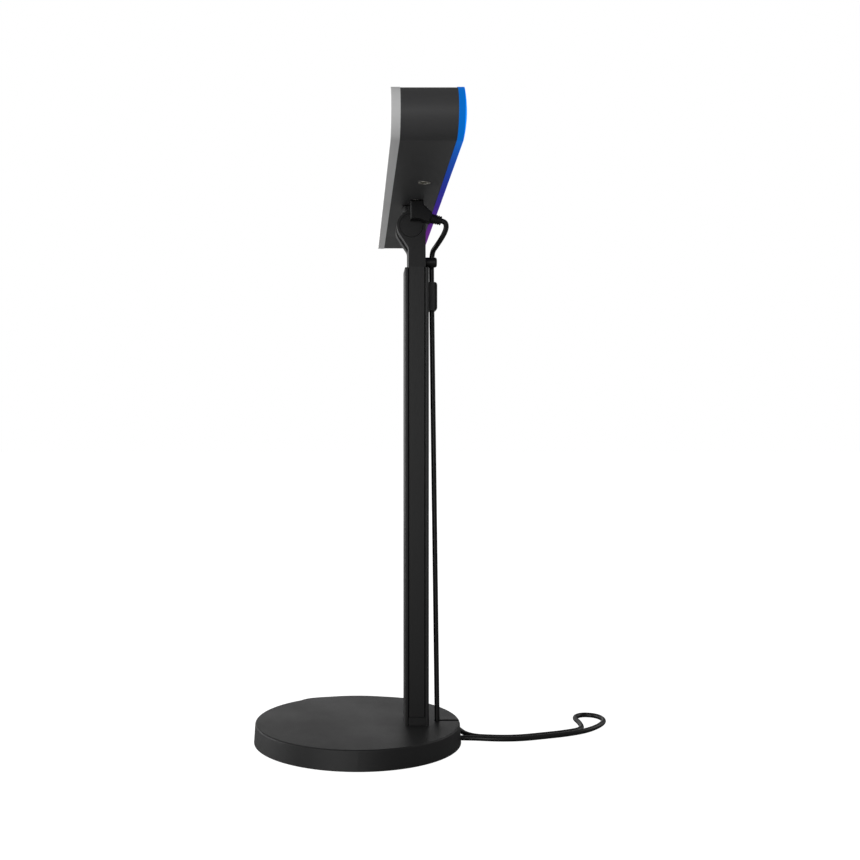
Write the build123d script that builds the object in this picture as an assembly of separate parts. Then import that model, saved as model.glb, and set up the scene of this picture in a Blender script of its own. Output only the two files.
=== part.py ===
from build123d import *
import math
import os

# Two-sided desk light bar on a telescoping mast with a round weighted base, in millimetres.
# Origin: centre of the base, on the surface it stands on. +Z up, the bar lies along X,
# its white key light faces -Y and its coloured back light faces +Y.

# ---- Driving dimensions ----
# Base
BASE_D = 154.0  # at the foot
BASE_DRAFT = 1.0  # how far the side leans in on the way up
BASE_H = 15.0
BASE_SKIN = 3.0  # top and side wall of the base cover
BASE_EDGE_R = 1.2
PAD_H = 1.6  # rubber pad, which stands a little proud of the cover
PAD_INSET = 2.5
COVER_LIFT = 0.6
WEIGHT_GAP = 0.4
WEIGHT_HEADROOM = 0.1
BASE_SCREW_RING = 52.0  # radius of the ring of screws under the base
BASE_SCREW_ANGLES = (30, 150, 270)
BASE_SCREW_R = 1.45
BASE_SCREW_HEAD_R = 3.0
BASE_SCREW_HEAD_H = 2.0
BASE_SCREW_SINK = 2.6
BASE_SCREW_GRIP = 1.4  # thread in the cover's top

# Mast
MAST_TOP = 350.9
MAST_W = 30.0
MAST_FRONT_Y = 34.8
FRONT_RAIL_T = 2.6
REAR_RAIL_T = 2.8
SLIDER_DEPTH = 12.1  # space between the two rails
WEB_T = 8.0
WEB_WALL = 1.6
WEB_FOOT = 20.0  # solid length at the foot of the hollow web
RAIL_EDGE_R = 0.8
RAIL_JOIN = 0.5  # how far the web runs into each rail
FOOT_H = 6.0
FOOT_INSET = 0.3
MAST_BOLT_R = 2.5
MAST_BOLT_HEAD_R = 4.8
MAST_BOLT_HEAD_H = 3.6
MAST_BOLT_SINK = 4.4

# Telescoping slide
TRAVEL = 150.0
SLIDE_GAP = 0.2
SLIDER_CLEARANCE = 0.5
SLIDER_LIFT = 0.4  # over the foot plates
SLIDER_EDGE = 0.4
SOCKET_L = 8.0  # slider tenon in the neck
SOCKET_INSET = 3.0
SOCKET_SIDE = 2.0
SHOE_L = 10.0
SHOE_SINK = 1.2
SHOE_RUB = 0.12  # left between a shoe and the web
SHOE_EDGE = 1.5
SHOE_UP = 12.0  # lower shoes above the slider's end
SHOE_DOWN = 34.0  # upper shoes below the lowest place that the mast's top reaches
STOP_R = 1.6
STOP_L = 1.9
STOP_DROP = 14.0
STOP_GAP = 0.4

# Neck, clevis and tilting head
NECK_DEPTH = 12.4
NECK_FRONT_GAP = 0.1
NECK_GAP = 0.3  # between the mast and the neck
PIVOT_RISE = 30.7  # pivot axis above the top of the mast
CLEVIS_R = 10.5
SLOT_W = 12.0
SLOT_DROP = 16.7  # bottom of the clevis slot below the pivot
FLARE_SLOPE = 57.0  # angle of the flare under the clevis, from level
FLARE_R = 6.0
CAP_R = 8.6
CAP_T = 1.4
CAP_EDGE = 0.25
CAP_RING_INSET = 1.4
CAP_RING_W = 0.4
PIVOT_D = 5.0
PIVOT_FIT = 0.05  # radial clearance of the tongue on its bolt
PIVOT_HEAD_R = 4.5
PIVOT_HEAD_T = 2.4
PIVOT_SEAT_R = 4.6
PIVOT_SEAT_T = 2.6
PIVOT_DRIVE_R = 2.0
PIVOT_DRIVE_T = 1.2
PIVOT_NUT_R = 4.4
NECK_SCREW_R = 1.2
NECK_SCREW_HEAD_R = 2.2
NECK_SCREW_HEAD_T = 1.4
NECK_SCREW_RISE = 4.0
TONGUE_W = 11.4
TONGUE_R = 9.5
TONGUE_POST = 6.8  # half depth of the post over the pivot
TONGUE_RISE = 4.0
WASHER_T = 1.1
WASHER_R = 7.2
WASHER_FIT = 0.3
COLLAR_D = 15.0
COLLAR_H = 5.5
COLLAR_BACK = 1.0  # collar axis behind the pivot axis
COLLAR_EDGE = 0.5
COLLAR_KNURLS = 24
KNURL_R = 0.4
STUD_D = 6.35
STUD_UP = 7.5
STUD_DOWN = 5.8

# Light bar
BAR_L = 390.0
BAR_H = 30.7
BAR_FRONT_Y = 18.8  # rim of the front diffuser
BAR_RISE = 16.6  # underside of the bar above the pivot
FRONT_DEPTH = 5.5
FRONT_DOME = 1.4
HOUSING_DEPTH = 33.1
REAR_DEPTH = 3.8
REAR_DOME = 1.8
DOME_INSETS = (0, 2, 5, 9, 12.5)  # steps of a dome, in from the rim
HOUSING_INSET = 0.3
WALL = 2.0
LENS_WALL = 1.8
SKIRT = 2.5  # how far each diffuser reaches into the housing
FIT = 0.2
CHASSIS_DEPTH = 7.6  # behind the front joint
CHASSIS_T = 2.0
CHASSIS_SLOT = (24.0, 6.0)
CHASSIS_SLOT_XS = (-117.5, 0, 117.5)
CHASSIS_SCREW_END = 24.0
CHASSIS_SCREW_R = 1.25
CHASSIS_SCREW_HEAD_R = 2.4
CHASSIS_SCREW_HEAD_T = 1.4
CHASSIS_SCREW_TAIL = 2.5
POST_R = 2.6
BOARD_T = 1.6
BOARD_MARGIN = 5.0
BOARD_GAP = 0.4
LED_SIZE = 3.0
LED_T = 0.9
LED_MARGIN = 15.0
FRONT_LEDS = 16
FRONT_LED_ROWS = 11.0  # between the two rows
REAR_LEDS = 12
REAR_LED_RISE = 4.0
REFLECTOR_MARGIN = 1.5
REFLECTOR_GAP = 0.3
INSERT_SPAN = 152.0  # between the two outer tripod inserts
INSERT_BACK = 5.7  # behind the pivot axis
INSERT_R = 4.2
INSERT_L = 8.0
INSERT_BOSS = 1.8
CENTRE_INSERT_SINK = 0.3
THREAD_R = 2.6
DRIVER_ASIDE = 5.0  # beside the chassis screw on the right of the middle
DRIVER_L = 62.0
DRIVER_H = 14.0
DRIVER_LOW = 3.5  # lower edge below the bar's middle
DRIVER_BACK = 3.0
INDUCTOR = (6.0, 12.0, 10.0, 5.0)  # along the board, length, height and depth
CAPACITOR = (26.0, 4.0, 7.0)  # along the board, radius and depth
CHIPS = ((36.0, 7.0, 7.0, 1.2), (49.0, 6.0, 6.0, 1.2))
JACK_W = 11.0
JACK_H = 10.0
JACK_NOSE_R = 3.8
JACK_BORE_FIT = 0.1
JACK_SPARE = 0.6

# Controls on top of the bar
BUTTON_NAMES = ("power", "dimmer", "brighter", "cooler", "warmer", "back_light")
BUTTON_R = 4.0
BUTTON_PITCH = 17.0
BUTTON_FRONT = 9.5  # in front of the rear joint
BUTTON_TRAVEL = 0.8
BUTTON_PROUD = 0.9
BUTTON_EDGE_R = 0.5
BUTTON_FLANGE_R = 5.2
BUTTON_FLANGE_T = 0.8
BUTTON_GAP = 0.25
BUTTON_SLACK = 0.1
SWITCH_W = 6.0
SWITCH_H = 3.0
PLUNGER_R = 1.6
PLUNGER_H = 0.8
BUTTON_BOARD_MARGIN = 7.0
BUTTON_BOARD_FRONT = 5.5
BUTTON_BOARD_GAP = 0.6

# Power lead
CORD_D = 3.8
CORD_GAP = 0.1
CORD_LIFT = 0.05
SLOT_SPARE = 1.0
SLOT_BACK = 7.2  # head of the base's cord slot behind the mast
CLIP_BACK = 2.9  # cord behind the mast
CLIP_SPAN = 3.8  # cord's run below the middle of the neck clip
NECK_CLIP_RISE = 5.8
NECK_CLIP_R = 3.75
NECK_CLIP_L = 9.2
NECK_CLIP_EDGE_R = 1.4
NECK_CLIP_PIN_R = 1.55
NECK_CLIP_PIN_L = 4.8
PIN_GAP = 0.05
MAST_CLIP_DROP = 9.5
MAST_CLIP_H = 21.0
MAST_CLIP_W = 12.0
MAST_CLIP_DEPTH = 6.9
MAST_CLIP_EDGE_R = 2.2
MAST_CLIP_BORE_GAP = 0.25
MAST_CLIP_SCREW_R = 1.1
MAST_CLIP_SCREW_L = 2.2
JACK_SIDE = 4.9  # jack axis outside the mast's side
JACK_BACK = 3.8  # jack axis behind the pivot axis
PLUG_W = 9.2
PLUG_DEPTH = 9.4
PLUG_H = 13.6
PLUG_SHOULDER = 3.2  # straight part of the plug's rear face, under the bar
PLUG_HEEL = 3.0
PLUG_EDGE_R = 1.1
BARREL_D = 5.5
BARREL_L = 8.0
BARREL_ROOT = 2.0
BARREL_WALL = 1.2
RELIEF_D = 7.4
RELIEF_TIP_D = 6.4
RELIEF_L = 7.8
RELIEF_SLOPE = 13.0
RELIEF_RIBS = 5
RELIEF_RIB_SHARE = 0.6
RELIEF_GROOVE = 0.45
RELIEF_TIP_BACK = 21.6  # tip behind and above the pivot axis
RELIEF_TIP_UP = 2.2
PLUG_COLLAR = 0.2

# Lead on the floor, and the hank that its spare length is wound into
RIM_GAP = 2.3  # between the foot of the base and the cord beside it
RETURN_GAP = 0.7  # between the run out and the run back
RIM_STEP = 16.3  # degrees between the corners of the run round the base
HANK_TURNS = 3
HANK_FOLD_R = 11.4  # innermost fold of the hank
HANK_SPAN = 18.0  # half angle of the hank's long runs, in degrees
HANK_LEAD = 9.0  # degrees of the run round the base that belong to the hank
TIE_W = 12.0
TIE_T = 0.8
USB_W = 12.0
USB_H = 4.5
USB_SKIN = 0.4
USB_SHELL_L = 12.5
USB_BODY_L = 24.0
USB_BODY_W = 14.0
USB_BODY_H = 7.0
USB_EDGE_R = 2.0
USB_RELIEF = (2.3, 3.1, 8.0)  # radii and length
USB_Y = -14.0  # rear end of the plug's body
USB_Z = 3.7

CUT = 1.0  # how far a cutting shape runs past the face that it opens
LAP = 0.5  # how far two shapes that become one run into each other

# ---- Places worked out from them ----
BASE_R = BASE_D / 2
TOP_R = BASE_R - BASE_DRAFT
WEIGHT_TOP = BASE_H - BASE_SKIN
HALF_MAST = MAST_W / 2
HALF_WEB = WEB_T / 2
SIDE_FRONT_Y = MAST_FRONT_Y + FRONT_RAIL_T
SIDE_REAR_Y = SIDE_FRONT_Y + SLIDER_DEPTH
MAST_REAR_Y = SIDE_REAR_Y + REAR_RAIL_T
SIDE_MID_Y = (SIDE_FRONT_Y + SIDE_REAR_Y) / 2
FOOT_X1 = HALF_MAST - FOOT_INSET
FOOT_TOP = BASE_H + FOOT_H
MAST_BOLT_X = (HALF_WEB + HALF_MAST) / 2
SLIDER_X0 = HALF_WEB + SLIDER_CLEARANCE
SLIDER_Y0 = SIDE_FRONT_Y + SLIDE_GAP
SLIDER_Y1 = SIDE_REAR_Y - SLIDE_GAP
SLIDER_Z0 = FOOT_TOP + SLIDER_LIFT
NECK_BOTTOM = MAST_TOP + NECK_GAP
SLIDER_Z1 = NECK_BOTTOM + SOCKET_L
SHOE_ZS = (SLIDER_Z0 + SHOE_UP, MAST_TOP - TRAVEL - SHOE_DOWN)
STOP_Z = MAST_TOP - STOP_DROP
NECK_FRONT_Y = SIDE_FRONT_Y + NECK_FRONT_GAP
NECK_REAR_Y = NECK_FRONT_Y + NECK_DEPTH
NECK_SCREW_X = (SLIDER_X0 + HALF_MAST - SOCKET_INSET) / 2
NECK_SCREW_Z = NECK_BOTTOM + NECK_SCREW_RISE
PIVOT_Y = NECK_REAR_Y - CLEVIS_R
PIVOT_Z = MAST_TOP + PIVOT_RISE
PIVOT_R = PIVOT_D / 2
CAP_X = HALF_MAST - CAP_T
SEAT_X = CAP_X - PIVOT_SEAT_T
HALF_SLOT = SLOT_W / 2
BAR_BOTTOM = PIVOT_Z + BAR_RISE
BAR_Z = BAR_BOTTOM + BAR_H / 2
BAR_TOP = BAR_BOTTOM + BAR_H
HOUSING_FRONT_Y = BAR_FRONT_Y + FRONT_DEPTH
HOUSING_REAR_Y = HOUSING_FRONT_Y + HOUSING_DEPTH
BAR_REAR_Y = HOUSING_REAR_Y + REAR_DEPTH
HOUSING_TOP = BAR_TOP - HOUSING_INSET
CHASSIS_Y = HOUSING_FRONT_Y + CHASSIS_DEPTH
CHASSIS_BACK_Y = CHASSIS_Y + CHASSIS_T
CHASSIS_SCREW_XS = (-BAR_L / 2 + CHASSIS_SCREW_END, -BAR_L / 6, BAR_L / 6, BAR_L / 2 - CHASSIS_SCREW_END)
INNER_L = BAR_L - 2 * (HOUSING_INSET + WALL)
INNER_H = BAR_H - 2 * (HOUSING_INSET + WALL)
INNER_BOTTOM = BAR_Z - INNER_H / 2
INNER_TOP = BAR_Z + INNER_H / 2
PLUG_IN_L = INNER_L - 2 * FIT  # size of whatever fits inside the housing
PLUG_IN_H = INNER_H - 2 * FIT
BOARD_L = INNER_L - 2 * BOARD_MARGIN
BOARD_H = INNER_H - 2 * BOARD_MARGIN
FRONT_BOARD_Y = CHASSIS_Y - BOARD_T
REAR_BOARD_Y = HOUSING_REAR_Y - SKIRT - BOARD_T - BOARD_GAP
FRONT_LED_Y = FRONT_BOARD_Y - LED_T
DRIVER_X = CHASSIS_SCREW_XS[2] + DRIVER_ASIDE
DRIVER_Y = CHASSIS_BACK_Y + DRIVER_BACK
INSERT_Y = PIVOT_Y + INSERT_BACK
COLLAR_Y = PIVOT_Y + COLLAR_BACK
POST_TOP = BAR_BOTTOM - COLLAR_H
STUD_R = STUD_D / 2
INSERT_PLACES = ((-INSERT_SPAN / 2, INSERT_Y), (INSERT_SPAN / 2, INSERT_Y), (0, COLLAR_Y))
JACK_X = HALF_MAST + JACK_SIDE
JACK_Y = PIVOT_Y + JACK_BACK
BUTTON_XS = [(i - (len(BUTTON_NAMES) - 1) / 2) * BUTTON_PITCH for i in range(len(BUTTON_NAMES))]
BUTTON_Y = HOUSING_REAR_Y - BUTTON_FRONT
FLANGE_TOP = INNER_TOP - BUTTON_SLACK
FLANGE_BOTTOM = FLANGE_TOP - BUTTON_FLANGE_T
SWITCH_TOP = FLANGE_BOTTOM - BUTTON_TRAVEL - BUTTON_GAP
PLUNGER_Z = SWITCH_TOP - PLUNGER_H
BUTTON_BOARD_TOP = SWITCH_TOP - SWITCH_H
CORD_R = CORD_D / 2
LAY_Z = CORD_R + CORD_LIFT  # height of a cord's middle where it lies
CORD_TOP = CORD_D + CORD_LIFT
SLOT_HALF = (CORD_D + SLOT_SPARE) / 2
BASE_SLOT_Y = MAST_REAR_Y + SLOT_BACK
CLIP_Y = MAST_REAR_Y + CLIP_BACK
NECK_CLIP_Z = MAST_TOP + NECK_CLIP_RISE
NECK_CLIP_BOTTOM = NECK_CLIP_Z - CLIP_SPAN
MAST_CLIP_TOP = MAST_TOP - MAST_CLIP_DROP
MAST_CLIP_BOTTOM = MAST_CLIP_TOP - MAST_CLIP_H
MAST_CLIP_Z = (MAST_CLIP_TOP + MAST_CLIP_BOTTOM) / 2
PLUG_BOTTOM = BAR_BOTTOM - PLUG_H
RELIEF_ALONG = (math.cos(math.radians(RELIEF_SLOPE)), -math.sin(math.radians(RELIEF_SLOPE)))
RELIEF_TIP = (PIVOT_Y + RELIEF_TIP_BACK, PIVOT_Z + RELIEF_TIP_UP)
RELIEF_ROOT = (RELIEF_TIP[0] - RELIEF_L * RELIEF_ALONG[0], RELIEF_TIP[1] - RELIEF_L * RELIEF_ALONG[1])
HANK_PITCH = CORD_D + CORD_GAP
HANK_OUTER_R = HANK_FOLD_R + HANK_PITCH * (HANK_TURNS - 1)
HANK_HALF = HANK_OUTER_R + CORD_R
HANK_BORE = HANK_FOLD_R - CORD_R - CORD_GAP
HANK_R = BASE_R + RIM_GAP + HANK_HALF  # middle of the hank, from the middle of the base
HANK_LANE = HANK_R - HANK_OUTER_R


# ---- Shapes used again and again ----
def block(x0, x1, y0, y1, z0, z1):
    return Pos((x0 + x1) / 2, (y0 + y1) / 2, (z0 + z1) / 2) * Box(x1 - x0, y1 - y0, z1 - z0)


def rod_x(y, z, x0, x1, r):
    return Pos((x0 + x1) / 2, y, z) * Rot(0, 90, 0) * Cylinder(r, x1 - x0)


def rod_y(x, z, y0, y1, r):
    return Pos(x, (y0 + y1) / 2, z) * Rot(90, 0, 0) * Cylinder(r, y1 - y0)


def rod_z(x, y, z0, z1, r):
    return Pos(x, y, (z0 + z1) / 2) * Cylinder(r, z1 - z0)


def pair(solid):
    """The solid and its mirror image on the other side of the mast."""
    return [solid, mirror(solid, about=Plane.YZ)]


def slot_face(length, height, y, x=0, z=BAR_Z):
    """A flat shape with full round ends, upright across Y."""
    return Plane(origin=(x, y, z), x_dir=(1, 0, 0), z_dir=(0, 1, 0)) * SlotOverall(length, height)


def stadium(length, height, y0, y1):
    """A bar with full round ends, centred on the light bar, from y0 to y1."""
    return extrude(slot_face(length, height, y0), y1 - y0)


def side_profile(points, x0, x1):
    """A prism along X from its outline in Y and Z."""
    plane = Plane(origin=(x0, 0, 0), x_dir=(0, 1, 0), z_dir=(1, 0, 0))
    return extrude(plane * Polygon(*points, align=None), x1 - x0)


def screw_up(x, y, z_head, length, r, head_r, head_h):
    """A cap screw that goes up from the underside of a plate."""
    shank = rod_z(x, y, z_head, z_head + length, r)
    head = rod_z(x, y, z_head - head_h, z_head, head_r)
    drive = rod_z(x, y, z_head - head_h, z_head - head_h / 2, head_r / 2)
    return shank + head - drive


def tube(points, radius):
    """A cord along runs joined by arcs, each nearly as large as its two runs allow."""
    share = 0.45
    vectors = [Vector(*p) for p in points]
    runs = [b - a for a, b in zip(vectors, vectors[1:])]
    radii = [
        share * min(a.length, b.length) / math.tan(math.radians(a.get_angle(b)) / 2)
        for a, b in zip(runs, runs[1:])
    ]
    section = Plane(origin=points[0], z_dir=runs[0]) * Circle(radius)
    return sweep(section, path=FilletPolyline(*points, radius=radii))


# ---- Base ----
def cord_slot(z0, z1, half):
    """The round-ended slot that the cord takes through the base to its rear edge."""
    channel = block(-half, half, BASE_SLOT_Y, BASE_D, z0, z1)
    return channel + rod_z(0, BASE_SLOT_Y, z0, z1, half)


def base_screw_places():
    for angle in BASE_SCREW_ANGLES:
        turn = math.radians(angle)
        yield BASE_SCREW_RING * math.cos(turn), BASE_SCREW_RING * math.sin(turn)


def mast_bolt_holes(z0, z1, r):
    return [rod_z(x, SIDE_MID_Y, z0, z1, r) for x in (-MAST_BOLT_X, MAST_BOLT_X)]


def base_cover():
    height = BASE_H - COVER_LIFT
    shell = Pos(0, 0, COVER_LIFT + height / 2) * Cone(BASE_R, TOP_R, height)
    shell = fillet(shell.edges().sort_by(Axis.Z)[-1], BASE_EDGE_R)
    hollow = rod_z(0, 0, 0, WEIGHT_TOP, TOP_R - BASE_SKIN)
    solid = shell - hollow - cord_slot(0, BASE_H + CUT, SLOT_HALF)
    solid -= mast_bolt_holes(0, BASE_H + CUT, MAST_BOLT_R + FIT)
    for x, y in base_screw_places():
        solid -= rod_z(x, y, 0, WEIGHT_TOP + BASE_SCREW_GRIP, BASE_SCREW_R + PIVOT_FIT)
    return solid


def base_weight():
    solid = rod_z(0, 0, PAD_H, WEIGHT_TOP - WEIGHT_HEADROOM, TOP_R - BASE_SKIN - WEIGHT_GAP)
    solid -= cord_slot(0, BASE_H, SLOT_HALF + WEIGHT_GAP)
    solid -= mast_bolt_holes(0, BASE_H, MAST_BOLT_R + FIT)
    solid -= mast_bolt_holes(0, PAD_H + MAST_BOLT_SINK, MAST_BOLT_HEAD_R + WEIGHT_GAP)
    for x, y in base_screw_places():
        solid -= rod_z(x, y, 0, BASE_H, BASE_SCREW_R + WEIGHT_GAP)
        solid -= rod_z(x, y, 0, PAD_H + BASE_SCREW_SINK, BASE_SCREW_HEAD_R + WEIGHT_GAP)
    return solid


def base_pad():
    solid = rod_z(0, 0, 0, PAD_H, BASE_R - BASE_SKIN - PAD_INSET)
    solid -= cord_slot(-CUT, PAD_H + CUT, SLOT_HALF)
    for x, y in base_screw_places():
        solid -= rod_z(x, y, -CUT, PAD_H + CUT, BASE_SCREW_HEAD_R + WEIGHT_GAP)
    return solid


def base_screws():
    z = PAD_H + BASE_SCREW_SINK
    length = WEIGHT_TOP + BASE_SCREW_GRIP - FIT - z
    return [screw_up(x, y, z, length, BASE_SCREW_R, BASE_SCREW_HEAD_R, BASE_SCREW_HEAD_H)
            for x, y in base_screw_places()]


# ---- Mast, fixed to the base ----
def outer_mast():
    front = block(-HALF_MAST, HALF_MAST, MAST_FRONT_Y, SIDE_FRONT_Y, BASE_H, MAST_TOP)
    rear = block(-HALF_MAST, HALF_MAST, SIDE_REAR_Y, MAST_REAR_Y, BASE_H, MAST_TOP)
    solid = block(-HALF_WEB, HALF_WEB, SIDE_FRONT_Y - RAIL_JOIN, SIDE_REAR_Y + RAIL_JOIN, BASE_H, MAST_TOP)
    for rail in (front, rear):
        solid += fillet(rail.edges().filter_by(Axis.Z), RAIL_EDGE_R)
    solid -= rod_z(0, SIDE_MID_Y, BASE_H + WEB_FOOT, MAST_TOP + CUT, HALF_WEB - WEB_WALL)
    return solid - rod_y(0, MAST_CLIP_Z, SIDE_REAR_Y, MAST_REAR_Y + CUT, MAST_CLIP_SCREW_R)


def mast_foot():
    """Foot plates between the rails, which the base bolts pull down."""
    solid = block(HALF_WEB, FOOT_X1, SIDE_FRONT_Y, SIDE_REAR_Y, BASE_H, FOOT_TOP)
    solid -= rod_z(MAST_BOLT_X, SIDE_MID_Y, 0, FOOT_TOP - CUT, MAST_BOLT_R)
    return pair(solid)


def mast_bolts():
    z = PAD_H + MAST_BOLT_SINK
    length = FOOT_TOP - CUT - z
    bolt = screw_up(MAST_BOLT_X, SIDE_MID_Y, z, length, MAST_BOLT_R, MAST_BOLT_HEAD_R, MAST_BOLT_HEAD_H)
    return pair(bolt)


def travel_stops():
    """Two pins on the web that run in the sliders' grooves and end the travel."""
    return pair(rod_x(SIDE_MID_Y, STOP_Z, HALF_WEB, HALF_WEB + STOP_L, STOP_R))


def mast_cable_clip():
    half = MAST_CLIP_W / 2
    y1 = MAST_REAR_Y + MAST_CLIP_DEPTH
    solid = block(-half, half, MAST_REAR_Y, y1, MAST_CLIP_BOTTOM, MAST_CLIP_TOP)
    solid = fillet(solid.faces().sort_by(Axis.Y)[-1].edges(), MAST_CLIP_EDGE_R)
    bore = CORD_R + MAST_CLIP_BORE_GAP
    return solid - rod_z(0, CLIP_Y, MAST_CLIP_BOTTOM - CUT, MAST_CLIP_TOP + CUT, bore)


def mast_clip_screw():
    return rod_y(0, MAST_CLIP_Z, MAST_REAR_Y - MAST_CLIP_SCREW_L, MAST_REAR_Y, MAST_CLIP_SCREW_R)


# ---- Inner mast, which slides up and carries the clevis ----
def slider():
    solid = block(SLIDER_X0, HALF_MAST, SLIDER_Y0, SLIDER_Y1, SLIDER_Z0, NECK_BOTTOM)
    solid += block(SLIDER_X0, HALF_MAST - SOCKET_INSET, SLIDER_Y0 + SOCKET_SIDE, SLIDER_Y1 - SOCKET_SIDE,
                   NECK_BOTTOM, SLIDER_Z1)
    outer = [e for e in solid.edges().filter_by(Axis.Z) if e.center().X > HALF_MAST - SLIDER_EDGE]
    solid = chamfer(outer, SLIDER_EDGE)
    groove = STOP_R + STOP_GAP
    end = groove + CORD_GAP
    solid -= block(0, HALF_WEB + STOP_L + STOP_GAP, SIDE_MID_Y - groove, SIDE_MID_Y + groove,
                   STOP_Z - TRAVEL - end, STOP_Z + end)
    half = SHOE_L / 2 + PIN_GAP
    for z in SHOE_ZS:
        solid -= block(0, SLIDER_X0 + SHOE_SINK, SLIDER_Y0 + SHOE_EDGE, SLIDER_Y1 - SHOE_EDGE,
                       z - half, z + half)
    return solid


def slide_shoes():
    """Plastic shoes let into the sliders, which rub on the web and hold the height."""
    edge = SHOE_EDGE + PIN_GAP
    shoes = []
    for z in SHOE_ZS:
        shoes += pair(block(HALF_WEB + SHOE_RUB, SLIDER_X0 + SHOE_SINK, SLIDER_Y0 + edge, SLIDER_Y1 - edge,
                            z - SHOE_L / 2, z + SHOE_L / 2))
    return shoes


def neck_outline():
    """The flared front of the neck: it leaves the clevis's round at a tangent."""
    slope = math.radians(FLARE_SLOPE)
    touch_y = PIVOT_Y - CLEVIS_R * math.sin(slope)
    touch_z = PIVOT_Z - CLEVIS_R * math.cos(slope)
    corner_z = touch_z - (NECK_FRONT_Y - touch_y) * math.tan(slope)
    return [(touch_y, touch_z), (NECK_FRONT_Y, corner_z), (NECK_FRONT_Y, NECK_BOTTOM),
            (NECK_REAR_Y, NECK_BOTTOM), (NECK_REAR_Y, PIVOT_Z), (PIVOT_Y, PIVOT_Z)]


def neck_clevis():
    outline = neck_outline()
    solid = side_profile(outline, -HALF_MAST, HALF_MAST)
    corner = solid.edges().filter_by(Axis.X).sort_by_distance((0, *outline[1]))[0]
    solid = fillet(corner, FLARE_R)
    solid += rod_x(PIVOT_Y, PIVOT_Z, -HALF_MAST, HALF_MAST, CLEVIS_R)
    solid -= block(-HALF_SLOT, HALF_SLOT, 0, BASE_D, PIVOT_Z - SLOT_DROP, BAR_BOTTOM)
    solid -= rod_x(PIVOT_Y, PIVOT_Z, -HALF_MAST, HALF_MAST, PIVOT_R)
    side = rod_x(PIVOT_Y, PIVOT_Z, CAP_X, HALF_MAST, CAP_R + CAP_EDGE / 2)
    side += rod_x(PIVOT_Y, PIVOT_Z, SEAT_X, CAP_X, PIVOT_SEAT_R)
    edge = SOCKET_SIDE - PIN_GAP
    side += block(SLIDER_X0 - PIN_GAP, HALF_MAST - SOCKET_INSET + PIN_GAP,
                  SLIDER_Y0 + edge, SLIDER_Y1 - edge, NECK_BOTTOM - CUT, SLIDER_Z1 + PIN_GAP)
    side += rod_y(NECK_SCREW_X, NECK_SCREW_Z, SIDE_MID_Y, NECK_REAR_Y + CUT, NECK_SCREW_R + PIN_GAP)
    head_y = NECK_REAR_Y - NECK_SCREW_HEAD_T - CORD_GAP
    side += rod_y(NECK_SCREW_X, NECK_SCREW_Z, head_y, NECK_REAR_Y + CUT, NECK_SCREW_HEAD_R + CORD_GAP)
    solid -= pair(side)
    pin_y = NECK_REAR_Y - NECK_CLIP_PIN_L - FIT
    return solid - rod_y(0, NECK_CLIP_Z, pin_y, NECK_REAR_Y + CUT, NECK_CLIP_PIN_R + PIN_GAP)


def neck_screws():
    head_y = NECK_REAR_Y - NECK_SCREW_HEAD_T - CORD_GAP
    x, z = NECK_SCREW_X, NECK_SCREW_Z
    screw = rod_y(x, z, head_y, head_y + NECK_SCREW_HEAD_T, NECK_SCREW_HEAD_R)
    screw += rod_y(x, z, SLIDER_Y1 - SOCKET_SIDE, head_y, NECK_SCREW_R)
    screw -= rod_y(x, z, head_y + NECK_SCREW_HEAD_T / 2, NECK_REAR_Y, NECK_SCREW_HEAD_R / 2)
    return pair(screw)


def neck_cable_clip():
    """A round knob across the rear of the neck, bored upright for the cord."""
    solid = rod_y(0, NECK_CLIP_Z, NECK_REAR_Y, NECK_REAR_Y + NECK_CLIP_L, NECK_CLIP_R)
    solid = fillet(solid.edges().sort_by(Axis.Y)[-1], NECK_CLIP_EDGE_R)
    solid += rod_y(0, NECK_CLIP_Z, NECK_REAR_Y - NECK_CLIP_PIN_L, NECK_REAR_Y, NECK_CLIP_PIN_R)
    reach = NECK_CLIP_R + CUT
    return solid - rod_z(0, CLIP_Y, NECK_CLIP_Z - reach, NECK_CLIP_Z + reach, CORD_R + CORD_GAP)


# ---- Tilt joint ----
def pivot_bolt():
    shank = rod_x(PIVOT_Y, PIVOT_Z, -CAP_X + FIT, SEAT_X + FIT, PIVOT_R)
    head = rod_x(PIVOT_Y, PIVOT_Z, SEAT_X + CORD_GAP, SEAT_X + CORD_GAP + PIVOT_HEAD_T, PIVOT_HEAD_R)
    return shank + head - rod_x(PIVOT_Y, PIVOT_Z, CAP_X - PIVOT_DRIVE_T, CAP_X, PIVOT_DRIVE_R)


def pivot_nut():
    x0 = -CAP_X + CORD_GAP
    plane = Plane(origin=(x0, PIVOT_Y, PIVOT_Z), x_dir=(0, 1, 0), z_dir=(1, 0, 0))
    solid = extrude(plane * RegularPolygon(PIVOT_NUT_R, 6), PIVOT_HEAD_T)
    return solid - rod_x(PIVOT_Y, PIVOT_Z, x0 - CUT, x0 + PIVOT_HEAD_T + CUT, PIVOT_R)


def pivot_caps():
    """Round covers, flush with the outside of each arm, with a fine turned ring."""
    cap = rod_x(PIVOT_Y, PIVOT_Z, CAP_X, HALF_MAST, CAP_R)
    cap = chamfer(cap.faces().sort_by(Axis.X)[-1].edges(), CAP_EDGE)
    ring_r = CAP_R - CAP_RING_INSET
    ring = rod_x(PIVOT_Y, PIVOT_Z, HALF_MAST - CAP_EDGE, HALF_MAST + CUT, ring_r)
    ring -= rod_x(PIVOT_Y, PIVOT_Z, HALF_MAST - CAP_EDGE, HALF_MAST + CUT, ring_r - CAP_RING_W)
    return pair(cap - ring)


def friction_washers():
    washer = rod_x(PIVOT_Y, PIVOT_Z, HALF_SLOT - WASHER_T, HALF_SLOT, WASHER_R)
    return pair(washer - rod_x(PIVOT_Y, PIVOT_Z, HALF_SLOT - WASHER_T, HALF_SLOT, PIVOT_R))


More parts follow.
